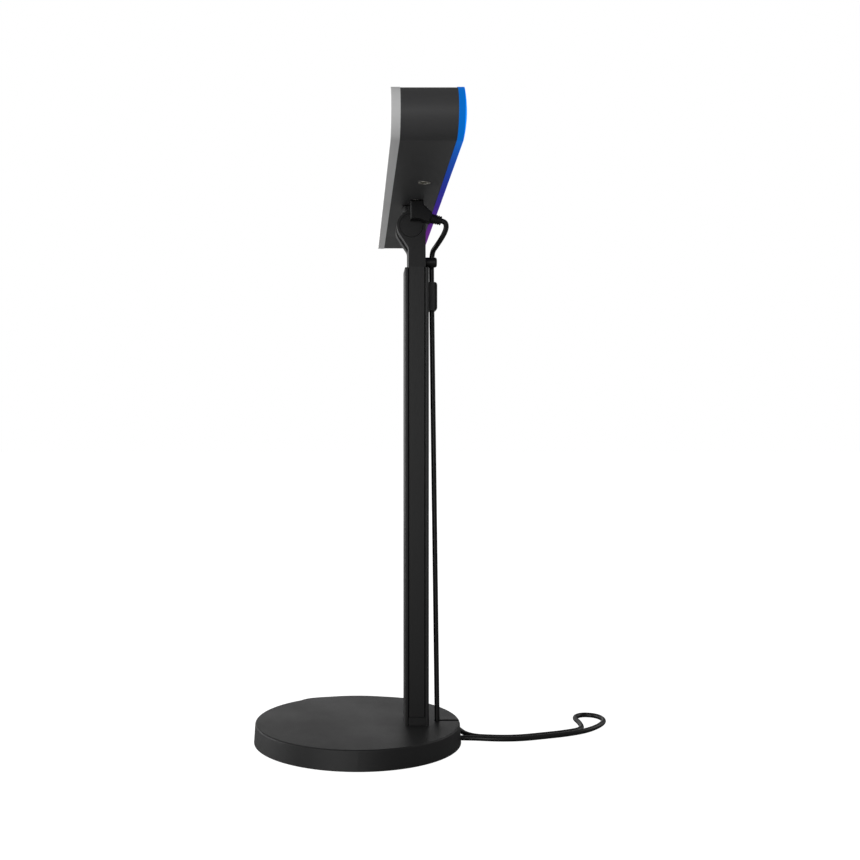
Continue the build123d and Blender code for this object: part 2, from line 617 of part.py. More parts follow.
def tilt_tongue():
    half = TONGUE_W / 2
    solid = rod_x(PIVOT_Y, PIVOT_Z, -half, half, TONGUE_R)
    solid += block(-half, half, COLLAR_Y - TONGUE_POST, COLLAR_Y + TONGUE_POST,
                   PIVOT_Z + TONGUE_RISE, POST_TOP)
    solid -= rod_x(PIVOT_Y, PIVOT_Z, -half, half, PIVOT_R + PIVOT_FIT)
    recess = HALF_SLOT - WASHER_T - PIN_GAP
    solid -= pair(rod_x(PIVOT_Y, PIVOT_Z, recess, half + CUT, WASHER_R + WASHER_FIT))
    return solid - rod_z(0, COLLAR_Y, POST_TOP - STUD_DOWN - FIT, POST_TOP + CUT, STUD_R)


def mount_collar():
    """Knurled thumb ring that locks the bar to the head."""
    solid = rod_z(0, COLLAR_Y, POST_TOP, BAR_BOTTOM, COLLAR_D / 2)
    solid = chamfer(solid.edges().filter_by(GeomType.CIRCLE), COLLAR_EDGE)
    for i in range(COLLAR_KNURLS):
        turn = 2 * math.pi * i / COLLAR_KNURLS
        x, y = COLLAR_D / 2 * math.cos(turn), COLLAR_D / 2 * math.sin(turn)
        solid -= rod_z(x, COLLAR_Y + y, POST_TOP, BAR_BOTTOM, KNURL_R)
    return solid - rod_z(0, COLLAR_Y, POST_TOP, BAR_BOTTOM, STUD_R)


def mount_stud():
    return rod_z(0, COLLAR_Y, POST_TOP - STUD_DOWN, BAR_BOTTOM + STUD_UP, STUD_R)


# ---- Light bar ----
def bar_housing():
    solid = stadium(BAR_L - 2 * HOUSING_INSET, BAR_H - 2 * HOUSING_INSET, HOUSING_FRONT_Y, HOUSING_REAR_Y)
    solid -= stadium(INNER_L, INNER_H, HOUSING_FRONT_Y, HOUSING_REAR_Y)
    for x, y in INSERT_PLACES:
        solid += rod_z(x, y, INNER_BOTTOM - WALL / 2, BAR_BOTTOM + INSERT_L + CUT, INSERT_R + INSERT_BOSS)
        solid -= rod_z(x, y, BAR_BOTTOM - CUT, BAR_BOTTOM + INSERT_L, INSERT_R)
    solid -= rod_z(JACK_X, JACK_Y, BAR_BOTTOM - CUT, INNER_BOTTOM + CUT, JACK_NOSE_R + CORD_GAP)
    for x in BUTTON_XS:
        solid -= rod_z(x, BUTTON_Y, INNER_TOP - CUT, BAR_TOP + CUT, BUTTON_R + BUTTON_GAP)
    return solid


def threaded_inserts():
    inserts = []
    for x, y in INSERT_PLACES:
        z0 = BAR_BOTTOM + (0 if x else CENTRE_INSERT_SINK)
        bore = THREAD_R if x else STUD_R
        body = rod_z(x, y, z0, BAR_BOTTOM + INSERT_L, INSERT_R)
        inserts.append(body - rod_z(x, y, z0, BAR_BOTTOM + INSERT_L, bore))
    return inserts


def dome(y_rim, rise, way):
    """A shallow lens on a diffuser's rim, as steps of a curve that flattens inwards."""
    faces = []
    for inset in DOME_INSETS:
        share = 1 - (1 - inset / (BAR_H / 2)) ** 2
        faces.append(slot_face(BAR_L - 2 * inset, BAR_H - 2 * inset, y_rim - way * rise * share))
    return loft(faces, ruled=True)


def diffuser(y_rim, y_joint, rise):
    """A translucent tray with a domed face: its skirt plugs into the housing."""
    way = 1 if y_joint > y_rim else -1
    solid = stadium(BAR_L, BAR_H, *sorted((y_rim, y_joint))) + dome(y_rim, rise, way)
    solid += stadium(PLUG_IN_L, PLUG_IN_H, *sorted((y_joint - way * LAP, y_joint + way * SKIRT)))
    ends = sorted((y_rim + way * LENS_WALL, y_joint + way * (SKIRT + CUT)))
    return solid - stadium(PLUG_IN_L - 2 * LENS_WALL, PLUG_IN_H - 2 * LENS_WALL, *ends)


def chassis_plate():
    """Aluminium plate across the housing that carries the boards and spreads heat."""
    solid = stadium(PLUG_IN_L, PLUG_IN_H, CHASSIS_Y, CHASSIS_BACK_Y)
    for x in CHASSIS_SCREW_XS:
        solid -= rod_y(x, BAR_Z, CHASSIS_Y, CHASSIS_BACK_Y, CHASSIS_SCREW_R + PIN_GAP)
    for x in CHASSIS_SLOT_XS:
        slot = slot_face(*CHASSIS_SLOT, CHASSIS_Y, x, BAR_Z + CHASSIS_SLOT[1])
        solid -= extrude(slot, CHASSIS_T)
    return solid


def chassis_screws():
    screws = []
    for x in CHASSIS_SCREW_XS:
        head = rod_y(x, BAR_Z, FRONT_BOARD_Y - CHASSIS_SCREW_HEAD_T, FRONT_BOARD_Y, CHASSIS_SCREW_HEAD_R)
        shank = rod_y(x, BAR_Z, FRONT_BOARD_Y, CHASSIS_BACK_Y + CHASSIS_SCREW_TAIL, CHASSIS_SCREW_R)
        screws.append(head + shank)
    return screws


def led_board(y0):
    solid = stadium(BOARD_L, BOARD_H, y0, y0 + BOARD_T)
    for x in CHASSIS_SCREW_XS:
        solid -= rod_y(x, BAR_Z, y0, y0 + BOARD_T, CHASSIS_SCREW_R + CORD_GAP)
    return solid


def led_row(count, y0, z):
    """LED packages at an even pitch."""
    pitch = (BOARD_L - 2 * LED_MARGIN) / count
    half = LED_SIZE / 2
    xs = [(i - (count - 1) / 2) * pitch for i in range(count)]
    return [block(x - half, x + half, y0, y0 + LED_T, z - half, z + half) for x in xs]


def front_leds():
    rise = FRONT_LED_ROWS / 2
    return led_row(FRONT_LEDS, FRONT_LED_Y, BAR_Z + rise) + led_row(FRONT_LEDS, FRONT_LED_Y, BAR_Z - rise)


def rear_leds():
    return led_row(REAR_LEDS, REAR_BOARD_Y + BOARD_T, BAR_Z + REAR_LED_RISE)


def rear_board_posts():
    """Spacers that hold the rear board off the chassis screws."""
    y0 = CHASSIS_BACK_Y + CHASSIS_SCREW_TAIL + CORD_GAP
    return [rod_y(x, BAR_Z, y0, REAR_BOARD_Y, POST_R) for x in CHASSIS_SCREW_XS]


def front_reflector():
    """White tray behind the front diffuser, open where the LEDs shine through."""
    y0 = HOUSING_FRONT_Y + SKIRT + REFLECTOR_GAP
    y1 = FRONT_LED_Y - 2 * REFLECTOR_GAP
    return stadium(PLUG_IN_L, PLUG_IN_H, y0, y1) - stadium(BOARD_L, BOARD_H + 2 * REFLECTOR_MARGIN, y0, y1)


def driver_board():
    z0 = BAR_Z - DRIVER_LOW
    return block(DRIVER_X, DRIVER_X + DRIVER_L, DRIVER_Y, DRIVER_Y + BOARD_T, z0, z0 + DRIVER_H)


def driver_parts():
    """Inductor, chips and capacitor on the driver board."""
    y0 = DRIVER_Y + BOARD_T
    z = BAR_Z - DRIVER_LOW + DRIVER_H / 2
    parts = []
    for along, length, height, depth in (INDUCTOR, *CHIPS):
        x0 = DRIVER_X + along
        parts.append(block(x0, x0 + length, y0, y0 + depth, z - height / 2, z + height / 2))
    along, r, depth = CAPACITOR
    return parts + [rod_y(DRIVER_X + along, z, y0, y0 + depth, r)]


def dc_jack():
    half = JACK_W / 2
    z0 = INNER_BOTTOM
    solid = block(JACK_X - half, JACK_X + half, JACK_Y - half, JACK_Y + half, z0, z0 + JACK_H)
    solid += rod_z(JACK_X, JACK_Y, BAR_BOTTOM + HOUSING_INSET, z0 + LAP, JACK_NOSE_R)
    bore_top = BAR_BOTTOM + BARREL_L + JACK_SPARE
    return solid - rod_z(JACK_X, JACK_Y, BAR_BOTTOM, bore_top, BARREL_D / 2 + JACK_BORE_FIT)


# ---- Buttons ----
def button(x):
    cap = rod_z(x, BUTTON_Y, FLANGE_BOTTOM, HOUSING_TOP + BUTTON_PROUD, BUTTON_R)
    cap = fillet(cap.faces().sort_by(Axis.Z)[-1].edges(), BUTTON_EDGE_R)
    return cap + rod_z(x, BUTTON_Y, FLANGE_BOTTOM, FLANGE_TOP, BUTTON_FLANGE_R)


def button_board():
    half = BUTTON_XS[-1] + BUTTON_BOARD_MARGIN
    return block(-half, half, BUTTON_Y - BUTTON_BOARD_FRONT, REAR_BOARD_Y - BUTTON_BOARD_GAP,
                 BUTTON_BOARD_TOP - BOARD_T, BUTTON_BOARD_TOP)


def tact_switches():
    half = SWITCH_W / 2
    switches = []
    for x in BUTTON_XS:
        body = block(x - half, x + half, BUTTON_Y - half, BUTTON_Y + half, BUTTON_BOARD_TOP, PLUNGER_Z)
        switches.append(body + rod_z(x, BUTTON_Y, PLUNGER_Z, SWITCH_TOP, PLUNGER_R))
    return switches


# ---- Power lead ----
# Middle of the lead from the strain relief down into the neck clip.
UPPER_ROUTE = [
    (JACK_X, *RELIEF_TIP),
    (JACK_X, RELIEF_TIP[0] + 2.6 * RELIEF_ALONG[0], RELIEF_TIP[1] + 2.6 * RELIEF_ALONG[1]),
    (JACK_X - 0.8, PIVOT_Y + 25.4, PIVOT_Z - 1.1),
    (JACK_X - 2.8, PIVOT_Y + 24.7, PIVOT_Z - 4.9),
    (JACK_X - 7.5, PIVOT_Y + 22.1, PIVOT_Z - 9.5),
    (JACK_X - 13.5, PIVOT_Y + 18.7, PIVOT_Z - 14.1),
    (0, CLIP_Y, NECK_CLIP_Z + 7.2),
    (0, CLIP_Y, NECK_CLIP_BOTTOM),
]

# Middle of the lead's run out from the base, as its place across and behind the base's foot.
RUN_OUT = [
    (0.4, 8.5), (3.8, 26.5), (2.9, 45.0), (-3.1, 63.0), (-9.4, 81.0), (-19.0, 98.5), (-34.0, 112.0),
]
TURN_BACK = [(-49.0, 119.0), (-62.5, 115.5), (-66.0, 104.0), (-57.0, 95.5), (-40.0, 97.5)]
RUN_IN = (-4.6, 5.6)  # where the run back bends round the base


def beside(points, gap):
    """Corners of a run beside another one, to its left, without its two ends."""
    corners = []
    for before, here, after in zip(points, points[1:], points[2:]):
        along = (Vector(*after) - Vector(*before)).normalized()
        corners.append((here[0] - along.Y * gap, here[1] + along.X * gap))
    return corners


def rim_place(angle, reach):
    """A place behind the base, at an angle from -X towards +Y."""
    turn = math.radians(angle)
    return (-reach * math.cos(turn), reach * math.sin(turn), LAY_Z)


def rim_run():
    """The cord's run round the foot of the base, up to the hank."""
    end = HANK_SPAN + HANK_LEAD
    reach = HANK_LANE / math.cos(math.radians(RIM_STEP / 2))
    corners = [rim_place(end + RIM_STEP * share, reach) for share in (2.5, 1.5, 0.5)]
    return corners + [rim_place(end, HANK_LANE)]


def lower_route():
    """From the neck clip down the mast, out over the floor, back and round the base."""
    back = beside(RUN_OUT, CORD_D + RETURN_GAP)[::-1]
    floor = [(x, BASE_R + y, LAY_Z) for x, y in RUN_OUT + TURN_BACK + back + [RUN_IN]]
    down = [(0, CLIP_Y, NECK_CLIP_BOTTOM), (0, CLIP_Y, MAST_CLIP_Z), (0, BASE_SLOT_Y, LAY_Z)]
    return down + floor + rim_run()


def dc_plug():
    """Right-angle plug: an upright body with a shoulder that slopes down to the relief."""
    y0, y1 = JACK_Y - PLUG_DEPTH / 2, JACK_Y + PLUG_DEPTH / 2
    half = RELIEF_D / 2 + PLUG_COLLAR
    across = (-RELIEF_ALONG[1] * half, RELIEF_ALONG[0] * half)
    outline = [(y0, BAR_BOTTOM), (y0, PLUG_BOTTOM), (y1 - PLUG_HEEL, PLUG_BOTTOM),
               (RELIEF_ROOT[0] - across[0], RELIEF_ROOT[1] - across[1]),
               (RELIEF_ROOT[0] + across[0], RELIEF_ROOT[1] + across[1]),
               (y1, BAR_BOTTOM - PLUG_SHOULDER), (y1, BAR_BOTTOM)]
    solid = side_profile(outline, JACK_X - PLUG_W / 2, JACK_X + PLUG_W / 2)
    sides = solid.faces().sort_by(Axis.X)
    solid = fillet(sides[0].edges() + sides[-1].edges(), PLUG_EDGE_R)
    return solid - rod_z(JACK_X, JACK_Y, BAR_BOTTOM - BARREL_ROOT, BAR_BOTTOM, BARREL_D / 2)


def plug_barrel():
    z1 = BAR_BOTTOM + BARREL_L
    solid = rod_z(JACK_X, JACK_Y, BAR_BOTTOM - BARREL_ROOT, z1, BARREL_D / 2)
    return solid - rod_z(JACK_X, JACK_Y, BAR_BOTTOM, z1, BARREL_D / 2 - BARREL_WALL)


def strain_relief():
    """Ribbed sleeve that points back and slightly down."""
    plane = Plane(origin=(JACK_X, *RELIEF_ROOT), z_dir=(0, *RELIEF_ALONG))
    root_r, tip_r = RELIEF_D / 2, RELIEF_TIP_D / 2
    core = Cone(root_r - RELIEF_GROOVE, tip_r - RELIEF_GROOVE, RELIEF_L)
    solid = plane * Pos(0, 0, RELIEF_L / 2) * core
    pitch = RELIEF_L / RELIEF_RIBS
    for i in range(RELIEF_RIBS):
        share = (i + 0.5) / RELIEF_RIBS
        r = root_r + (tip_r - root_r) * share
        solid += plane * Pos(0, 0, RELIEF_L * share) * Cylinder(r, pitch * RELIEF_RIB_SHARE)
    return solid


def hank_block(z0, z1, half):
    """A round-ended band that follows the base's edge, the outer shape of the hank."""
    turn = math.radians(HANK_SPAN)
    side_y = 2 * HANK_R * math.tan(turn)
    wedge = Polygon((0, 0), (-2 * HANK_R, side_y), (-2 * HANK_R, -side_y), align=None)
    sector = rod_z(0, 0, z0, z1, HANK_R + half) - rod_z(0, 0, z0, z1, HANK_R - half)
    solid = sector & Pos(0, 0, z0) * extrude(wedge, z1 - z0)
    for side in (-HANK_SPAN, HANK_SPAN):
        x, y, _ = rim_place(side, HANK_R)
        solid += rod_z(x, y, z0, z1, half)
    return solid


def cord_hank():
    ring = hank_block(CORD_LIFT, CORD_TOP, HANK_HALF) - hank_block(-CUT, CORD_TOP + CUT, HANK_BORE)
    path = Pos(0, 0, LAY_Z) * CenterArc((0, 0), HANK_LANE, 180 - HANK_SPAN, -HANK_LEAD)
    section = Plane(origin=path @ 0, z_dir=path % 0) * Circle(CORD_R)
    return ring + sweep(section, path=path)


def hank_tie():
    """Strap over the inner and outer sides of the three runs nearest the base."""
    x0, x1 = -HANK_R + HANK_BORE, -HANK_R + HANK_HALF
    half = TIE_W / 2
    strap = block(x0 - TIE_T, x1 + TIE_T, -half, half, 0.3, CORD_TOP + TIE_T)
    room = hank_block(-CUT, CORD_TOP, HANK_HALF) - hank_block(-CUT, CORD_TOP, HANK_BORE)
    return strap - room - block(x0, x1, -half, half, 0, CORD_TOP)


def usb_shell():
    half, z0 = USB_W / 2, USB_Z - USB_H / 2
    y0 = USB_Y + USB_BODY_L
    y1 = y0 + USB_SHELL_L
    solid = block(-HANK_R - half, -HANK_R + half, y0, y1, z0, z0 + USB_H)
    inner = half - USB_SKIN
    return solid - block(-HANK_R - inner, -HANK_R + inner, y0 + LAP, y1,
                         z0 + USB_SKIN, z0 + USB_H - USB_SKIN)


def usb_body():
    half = USB_BODY_W / 2
    solid = block(-HANK_R - half, -HANK_R + half, USB_Y, USB_Y + USB_BODY_L,
                  USB_Z - USB_BODY_H / 2, USB_Z + USB_BODY_H / 2)
    return fillet(solid.edges().filter_by(Axis.Y), USB_EDGE_R)


def usb_relief():
    cone = Cone(*USB_RELIEF)
    return Pos(-HANK_R, USB_Y - USB_RELIEF[2] / 2, USB_Z) * Rot(-90, 0, 0) * cone


# ---- Write every sub-part ----
def write(node, made):
    solids = made if isinstance(made, list) else [made]
    flat = [s for item in solids for s in item.solids()]
    shape = flat[0] if len(flat) == 1 else Compound(children=flat)
    export_step(shape, f"parts/{node}.step")


SLIDERS = pair(slider())
PARTS = {
    "base_cover": base_cover(),
    "base_weight": base_weight(),
    "base_pad": base_pad(),
    "base_screws": base_screws(),
    "outer_mast": outer_mast(),
    "mast_foot": mast_foot(),
    "mast_bolts": mast_bolts(),
    "travel_stops": travel_stops(),
    "mast_cable_clip": mast_cable_clip(),
    "mast_clip_screw": mast_clip_screw(),
    "slider_right": SLIDERS[0],
    "slider_left": SLIDERS[1],
    "slide_shoes": slide_shoes(),
    "neck_clevis": neck_clevis(),
    "neck_screws": neck_screws(),
    "neck_cable_clip": neck_cable_clip(),
    "pivot_bolt": pivot_bolt(),
    "pivot_nut": pivot_nut(),
    "pivot_caps": pivot_caps(),
    "friction_washers": friction_washers(),
    "tilt_tongue": tilt_tongue(),
    "mount_collar": mount_collar(),
    "mount_stud": mount_stud(),
    "bar_housing": bar_housing(),
    "threaded_inserts": threaded_inserts(),
    "front_diffuser": diffuser(BAR_FRONT_Y, HOUSING_FRONT_Y, FRONT_DOME),
    "rear_diffuser": diffuser(BAR_REAR_Y, HOUSING_REAR_Y, REAR_DOME),
    "chassis_plate": chassis_plate(),
    "chassis_screws": chassis_screws(),
    "front_reflector": front_reflector(),
    "front_led_board": led_board(FRONT_BOARD_Y),
    "front_leds": front_leds(),
    "rear_led_board": led_board(REAR_BOARD_Y),
    "rear_leds": rear_leds(),
    "rear_board_posts": rear_board_posts(),
    "driver_board": driver_board(),
    "driver_parts": driver_parts(),
    "dc_jack": dc_jack(),
    "button_board": button_board(),
    "tact_switches": tact_switches(),
    "dc_plug": dc_plug(),
    "plug_barrel": plug_barrel(),
    "strain_relief": strain_relief(),
    "cord_upper": tube(UPPER_ROUTE, CORD_R),
    "cord_lower": tube(lower_route(), CORD_R),
    "cord_hank": cord_hank(),
    "hank_tie": hank_tie(),
    "usb_shell": usb_shell(),
    "usb_body": usb_body(),
    "usb_relief": usb_relief(),
}
for name, x in zip(BUTTON_NAMES, BUTTON_XS):
    PARTS[f"{name}_button"] = button(x)

os.makedirs("parts", exist_ok=True)
for node, made in PARTS.items():
    write(node, made)
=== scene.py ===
import math

import bpy
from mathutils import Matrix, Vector


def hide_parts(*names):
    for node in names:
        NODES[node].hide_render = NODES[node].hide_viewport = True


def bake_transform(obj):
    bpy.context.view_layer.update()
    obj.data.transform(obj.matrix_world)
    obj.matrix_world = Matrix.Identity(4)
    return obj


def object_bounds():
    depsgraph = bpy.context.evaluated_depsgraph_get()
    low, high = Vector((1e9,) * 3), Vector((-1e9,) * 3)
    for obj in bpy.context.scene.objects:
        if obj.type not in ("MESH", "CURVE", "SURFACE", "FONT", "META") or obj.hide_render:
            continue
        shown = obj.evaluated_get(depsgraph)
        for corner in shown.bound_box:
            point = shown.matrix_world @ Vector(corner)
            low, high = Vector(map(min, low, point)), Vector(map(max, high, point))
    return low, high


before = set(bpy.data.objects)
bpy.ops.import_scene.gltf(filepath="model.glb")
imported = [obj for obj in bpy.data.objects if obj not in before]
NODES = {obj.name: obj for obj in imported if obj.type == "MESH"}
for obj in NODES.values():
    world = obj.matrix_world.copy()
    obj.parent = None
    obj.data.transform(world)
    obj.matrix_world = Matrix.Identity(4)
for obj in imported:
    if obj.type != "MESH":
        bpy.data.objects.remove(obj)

CAD_BOX = [list(corner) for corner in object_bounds()]

# ---- Sizes in metres, the same as the CAD model's ----
HALF_BAR = CAD_BOX[1][0]  # the bar is the widest thing along X
FRONT_Y = (0.0188, 0.0243)  # rim and joint of the front diffuser
REAR_Y = (0.0612, 0.0574)  # rim and joint of the rear diffuser
CORD_D = 0.0038
CORD_R = CORD_D / 2
LAY_Z = CORD_R + 0.00005  # centre of a cord that lies on the floor
JACK_X = 0.0199
CLIP_Y = 0.0552
NECK_CLIP_BOTTOM = 0.3529
MAST_CLIP_Z = 0.3309
BASE_SLOT_Y = 0.0595
BASE_R = 0.077
RETURN_OFFSET = 0.0045  # between the run out and the run back
HANK_R = 0.1004  # middle line of the hank, round the base's centre
HANK_FOLD_R = 0.0114  # innermost turn, from the middle line
HANK_PITCH = 0.0039
HANK_TURNS = 3
HANK_SPAN = math.radians(18)  # from the hank's middle to the start of a fold
HANK_LEAD = math.radians(9)
RIM_STEP = math.radians(16.3)
RIM_SHARES = (2.5, 1.5, 0.5)  # corners of the rim run, in steps before the hank
FOLD_POINTS = 5
PLUG_FOLD = (0.99, 0.95, 0.87, 0.75, 0.6)  # the last fold closes in on the plug
USB_REAR_Y = -0.022
USB_Z = 0.0037
UPPER_STEP = 0.0012  # longest piece of each cord's mesh
LOWER_STEP = 0.0025

# ---- Camera ----
CAMERA_PLACE = (0.7985, 0.0, 0.2291)
CAMERA_TURN = (math.radians(90), 0, math.radians(90))
FOCAL_LENGTH = 44.77  # millimetres, as is the sensor
SENSOR_WIDTH = 36.0
CAMERA_SHIFT = (0.0842, 0.004)
NEAREST = 0.01

# ---- Surfaces ----
DRIFT_SCALE = 18.0  # slow change of colour and gloss over a moulded or painted piece
GLOSS_DRIFT = (-0.05, 0.06)
GRAIN_BUMP = 0.55
BRUSH_SCALE = (900.0, 25.0)  # across and along the grain of brushed metal
BRUSH_GLOSS = (-0.06, 0.08)
FINE_BUMP = 0.25
BRUSH_DEPTH = 0.00004
OPAL_DEPTH = 0.00003
OPAL_GRAIN = 2600.0
OPAL_ROUGH = (0.4, 0.5)
CLOUD_SCALE = 14.0
CLOUD_GLOW = (0.95, 1.05)
FACE_SHARE = 0.08  # the face's glow fades out over this share of the diffuser's wall

# ---- Studio floor ----
FLOOR_HALF = 12.0
FLOOR_Z = -0.0002
FLOOR_GREY = 0.45
FLOOR_ROUGH = 0.9

# ---- Studio light: the world's own level, then place, target, size and power ----
WORLD = 0.16
LIGHTS = [
    ("overhead", (-0.9, -0.9, 2.0), (0, 0, 0), (1.6, 1.6), 1.2),
    ("key", (2.3, -0.9, 0.5), (0, 0, 0.3), (1.6, 0.8), 17),
    ("front_box", (-0.5, -2.0, 0.45), (0, 0, 0.3), (1.6, 1.2), 22),
    ("back_box", (-0.8, 1.9, 0.9), (0, 0, 0.2), (1.0, 1.2), 4),
    ("far_panel", (-2.2, -0.5, 0.45), (0, -0.1, 0.3), (2.4, 0.9), 3.4),
]


def add_object(name, data):
    """An object with this data, linked into the scene."""
    item = bpy.data.objects.new(name, data)
    bpy.context.scene.collection.objects.link(item)
    return item


def make_camera():
    """A level camera that looks along -X at the end of the bar."""
    data = bpy.data.cameras.new("camera")
    camera = add_object("camera", data)
    camera.location = CAMERA_PLACE
    camera.rotation_euler = CAMERA_TURN
    data.lens = FOCAL_LENGTH
    data.sensor_width = SENSOR_WIDTH
    data.shift_x, data.shift_y = CAMERA_SHIFT
    data.clip_start = NEAREST
    bpy.context.scene.camera = camera


# ---- Material helpers ----
def new_material(name):
    material = bpy.data.materials.new(name)
    material.use_nodes = True
    return material, material.node_tree.nodes, material.node_tree.links


def shader_of(nodes):
    return next(n for n in nodes if n.type == "BSDF_PRINCIPLED")


def object_coordinates(nodes, links, scale):
    """Object coordinates, in metres, stretched by scale."""
    place = nodes.new("ShaderNodeTexCoord")
    mapping = nodes.new("ShaderNodeMapping")
    mapping.inputs["Scale"].default_value = scale
    links.new(place.outputs["Object"], mapping.inputs["Vector"])
    return mapping.outputs["Vector"]


def noise(nodes, links, vector, scale, detail, roughness=0.55):
    node = nodes.new("ShaderNodeTexNoise")
    node.inputs["Scale"].default_value = scale
    node.inputs["Detail"].default_value = detail
    node.inputs["Roughness"].default_value = roughness
    links.new(vector, node.inputs["Vector"])
    return node.outputs["Fac"]


def spread(nodes, links, value, low, high, start=0.3, end=0.7):
    """A value that goes from low to high as the input goes from start to end."""
    node = nodes.new("ShaderNodeMapRange")
    node.inputs["From Min"].default_value = start
    node.inputs["From Max"].default_value = end
    node.inputs["To Min"].default_value = low
    node.inputs["To Max"].default_value = high
    links.new(value, node.inputs["Value"])
    return node.outputs["Result"]


def tint(nodes, links, value, dark, light):
    """A colour between dark and light, from a value of 0 to 1."""
    node = nodes.new("ShaderNodeMix")
    node.data_type = "RGBA"
    node.inputs["A"].default_value = (*dark, 1)
    node.inputs["B"].default_value = (*light, 1)
    links.new(value, node.inputs["Factor"])
    return node.outputs["Result"]


def bump(nodes, links, height, strength, distance):
    node = nodes.new("ShaderNodeBump")
    node.inputs["Strength"].default_value = strength
    node.inputs["Distance"].default_value = distance
    links.new(height, node.inputs["Height"])
    return node.outputs["Normal"]


def fine_surface(name, dark, light, rough, grain, grain_depth, specular=0.5, metallic=0.0,
                 stretch=(1, 1, 1)):
    """A moulded, painted or anodised surface: grain in its bump, drift in colour and gloss."""
    material, nodes, links = new_material(name)
    shader = shader_of(nodes)
    vector = object_coordinates(nodes, links, stretch)
    drift = noise(nodes, links, vector, DRIFT_SCALE, 4.0)
    speckle = noise(nodes, links, vector, grain, 2.0, 0.7)
    links.new(tint(nodes, links, spread(nodes, links, drift, 0, 1), dark, light),
              shader.inputs["Base Color"])
    smooth, dull = (rough + change for change in GLOSS_DRIFT)
    links.new(spread(nodes, links, drift, smooth, dull), shader.inputs["Roughness"])
    links.new(bump(nodes, links, speckle, GRAIN_BUMP, grain_depth), shader.inputs["Normal"])
    shader.inputs["Metallic"].default_value = metallic
    shader.inputs["Specular IOR Level"].default_value = specular
    return material


def brushed_metal(name, dark, light, rough, axis):
    """Bare metal with a fine directional grain along one axis."""
    across, along = BRUSH_SCALE
    stretch = [across] * 3
    stretch[axis] = along
    material, nodes, links = new_material(name)
    shader = shader_of(nodes)
    vector = object_coordinates(nodes, links, stretch)
    grain = noise(nodes, links, vector, 1.0, 2.0, 0.6)
    links.new(tint(nodes, links, spread(nodes, links, grain, 0, 1), dark, light),
              shader.inputs["Base Color"])
    smooth, dull = (rough + change for change in BRUSH_GLOSS)
    links.new(spread(nodes, links, grain, smooth, dull), shader.inputs["Roughness"])
    links.new(bump(nodes, links, grain, FINE_BUMP, BRUSH_DEPTH), shader.inputs["Normal"])
    shader.inputs["Metallic"].default_value = 1.0
    return material


def lit_diffuser(name, body, gloss, stops, rim_y, joint_y, face_glow, wall_glow):
    """Opal plastic lit from inside: its colour runs along X, and its face is brightest."""
    material, nodes, links = new_material(name)
    shader = shader_of(nodes)
    place = nodes.new("ShaderNodeTexCoord")
    parts = nodes.new("ShaderNodeSeparateXYZ")
    links.new(place.outputs["Object"], parts.inputs["Vector"])
    ramp = nodes.new("ShaderNodeValToRGB")
    ramp.color_ramp.interpolation = "B_SPLINE"
    elements = ramp.color_ramp.elements
    while len(elements) < len(stops):
        elements.new(0.5)
    for element, (at, colour) in zip(elements, stops):
        element.position = at
        element.color = (*colour, 1)
    links.new(spread(nodes, links, parts.outputs["X"], 0, 1, -HALF_BAR, HALF_BAR),
              ramp.inputs["Fac"])
    links.new(ramp.outputs["Color"], shader.inputs["Emission Color"])
    inside = rim_y + (joint_y - rim_y) * FACE_SHARE
    depth = spread(nodes, links, parts.outputs["Y"], face_glow, wall_glow, rim_y, inside)
    cloud = spread(nodes, links, noise(nodes, links, place.outputs["Object"], CLOUD_SCALE, 2.0),
                   *CLOUD_GLOW)
    product = nodes.new("ShaderNodeMath")
    product.operation = "MULTIPLY"
    links.new(depth, product.inputs[0])
    links.new(cloud, product.inputs[1])
    links.new(product.outputs["Value"], shader.inputs["Emission Strength"])
    shader.inputs["Base Color"].default_value = (*body, 1)
    shader.inputs["Specular IOR Level"].default_value = gloss
    fine = noise(nodes, links, place.outputs["Object"], OPAL_GRAIN, 2.0)
    links.new(bump(nodes, links, fine, FINE_BUMP, OPAL_DEPTH), shader.inputs["Normal"])
    links.new(spread(nodes, links, fine, *OPAL_ROUGH), shader.inputs["Roughness"])
    return material


def dress(material, *names):
    for name in names:
        mesh = NODES[name].data
        mesh.materials.clear()
        mesh.materials.append(material)


def grey(level):
    return (level, level, level * 1.02)


